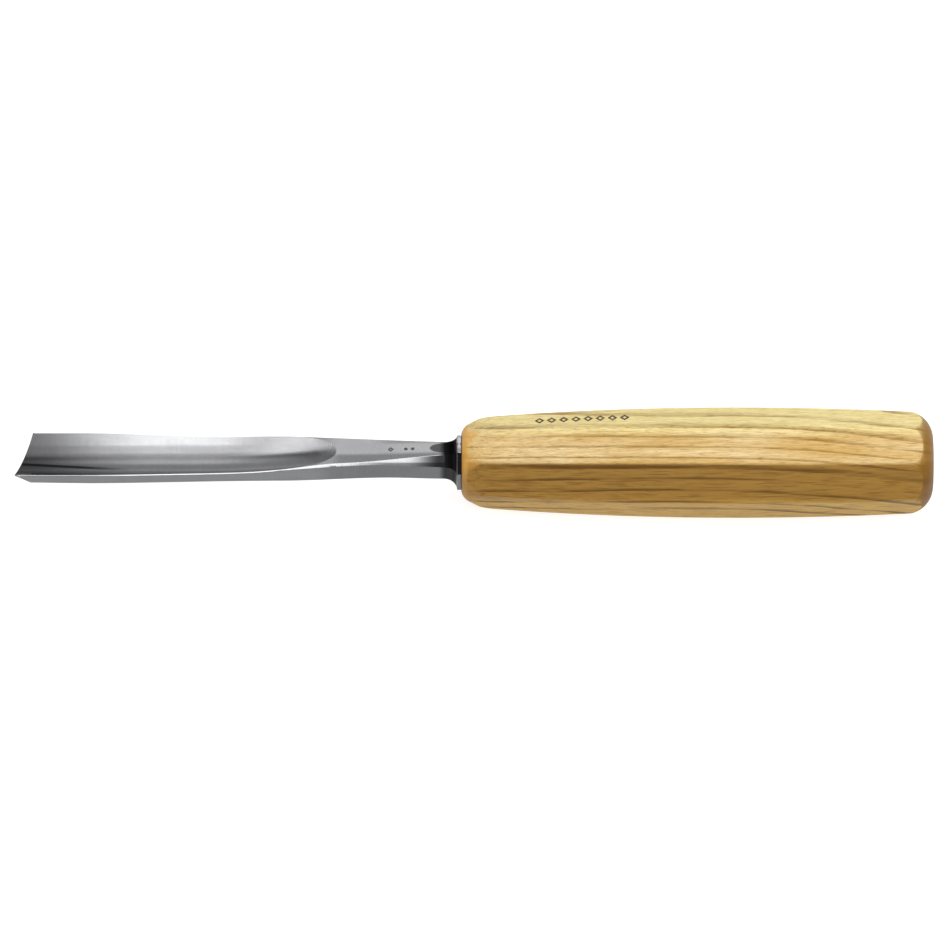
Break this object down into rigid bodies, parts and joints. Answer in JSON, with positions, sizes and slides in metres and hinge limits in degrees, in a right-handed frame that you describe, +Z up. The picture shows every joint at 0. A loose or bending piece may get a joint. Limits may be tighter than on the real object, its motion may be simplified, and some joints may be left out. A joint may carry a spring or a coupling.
{
  "type": "carving gouge",
  "caption": "Wood carving gouge with a shallow swept blade, faceted bolster and shank, and a barrel-shaped octagonal ash handle.",
  "frame": {"origin": "centre of the flat face at the handle's butt, on the tool axis", "axes": "X along the tool, +X out of the butt and the cutting edge at -X; +Z up out of the channel; +Y to the far side when the edge is on the left"},
  "size_m": [0.2549, 0.0308, 0.0308],
  "materials": {
    "blade_steel": "ground and finely polished, a little darker in the bolster's hollows",
    "ash_wood": "pale ash with clear grain, sanded and oiled, end grain on the turned ends",
    "ring_steel": "plain turned steel, hidden inside the handle"
  },
  "bodies": {
    "root": {"gouge_blade": "blade_steel", "handle": "ash_wood", "inner_ring": "ring_steel"}
  },
  "joints": []
}
